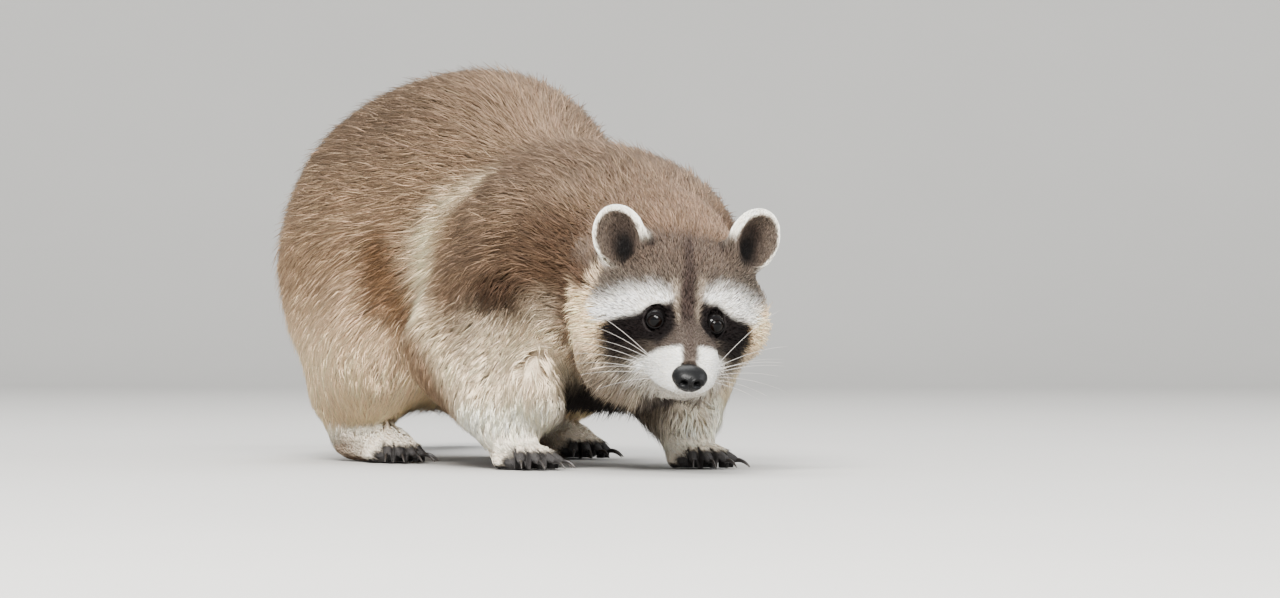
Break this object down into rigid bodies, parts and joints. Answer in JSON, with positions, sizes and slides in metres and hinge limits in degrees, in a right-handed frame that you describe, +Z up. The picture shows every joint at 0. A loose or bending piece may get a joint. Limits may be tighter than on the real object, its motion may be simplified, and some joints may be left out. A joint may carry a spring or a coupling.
{
  "type": "raccoon",
  "caption": "Life-size still model of a furry ring-tailed mammal with a black mask, standing low with a humped rump and its head turned.",
  "frame": {"origin": "on the floor under the middle of the animal's box", "axes": "+Z up, the trunk runs along Y with the head at -Y and the tail at +Y, +X is the animal's left side"},
  "size_m": [0.3302, 0.7892, 0.2797],
  "materials": {
    "coat_back": "dense winter guard hair, grizzled red-brown",
    "coat_limb": "long pale buff hair",
    "coat_face": "short face hair, white, grey and black",
    "coat_ear": "short pale hair with a white rim",
    "coat_tail": "long hair in dark and pale rings",
    "paw": "short pale hair over dark leathery skin",
    "eye": "wet black-brown",
    "nose": "moist, finely pebbled",
    "claw": "dark horn"
  },
  "bodies": {
    "root": {"trunk": "coat_back", "neck": "coat_back", "head": "coat_face", "nose": "nose", "tail_base": "coat_tail", "tail_middle": "coat_tail", "tail_tip": "coat_tail", "ear_right": "coat_ear", "eye_right": "eye", "arm_right": "coat_limb", "leg_right": "coat_limb", "fore_paw_right": "paw", "fore_claw_right_1": "claw", "fore_claw_right_2": "claw", "fore_claw_right_3": "claw", "fore_claw_right_4": "claw", "fore_claw_right_5": "claw", "hind_paw_right": "paw", "hind_claw_right_1": "claw", "hind_claw_right_2": "claw", "hind_claw_right_3": "claw", "hind_claw_right_4": "claw", "hind_claw_right_5": "claw", "ear_left": "coat_ear", "eye_left": "eye", "arm_left": "coat_limb", "leg_left": "coat_limb", "fore_paw_left": "paw", "fore_claw_left_1": "claw", "fore_claw_left_2": "claw", "fore_claw_left_3": "claw", "fore_claw_left_4": "claw", "fore_claw_left_5": "claw", "hind_paw_left": "paw", "hind_claw_left_1": "claw", "hind_claw_left_2": "claw", "hind_claw_left_3": "claw", "hind_claw_left_4": "claw", "hind_claw_left_5": "claw"}
  },
  "joints": []
}
